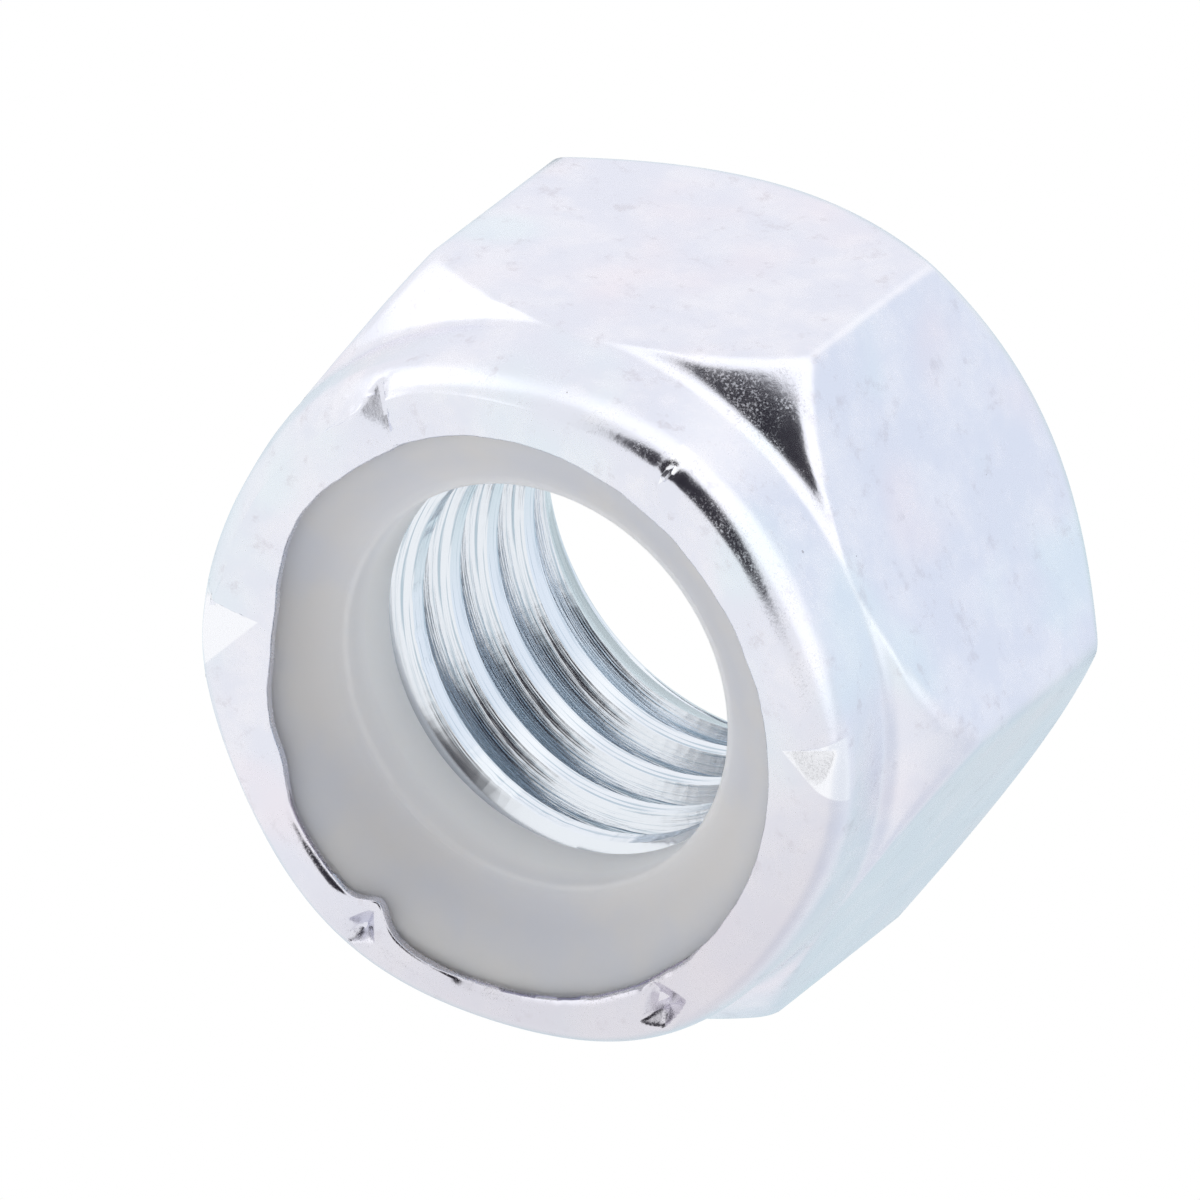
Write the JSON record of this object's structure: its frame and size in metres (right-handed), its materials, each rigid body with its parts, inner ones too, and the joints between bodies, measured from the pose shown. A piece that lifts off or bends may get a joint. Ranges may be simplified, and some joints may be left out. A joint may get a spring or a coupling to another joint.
{
  "type": "nylon insert lock nut",
  "caption": "Hexagonal steel lock nut with a crimped collar that holds a nylon ring over a threaded bore.",
  "frame": {"origin": "centre of the bearing face, on the thread's axis, at the bottom", "axes": "+Z along the thread's axis from the bearing face to the nylon end, +X through a corner of the hexagon"},
  "size_m": [0.022, 0.019, 0.014],
  "materials": {
    "zinc_plated_steel": "bright zinc plate over cold-formed steel, faintly mottled",
    "nylon": "natural off-white nylon, satin"
  },
  "bodies": {
    "root": {"nut_body": "zinc_plated_steel", "nylon_insert": "nylon"}
  },
  "joints": []
}
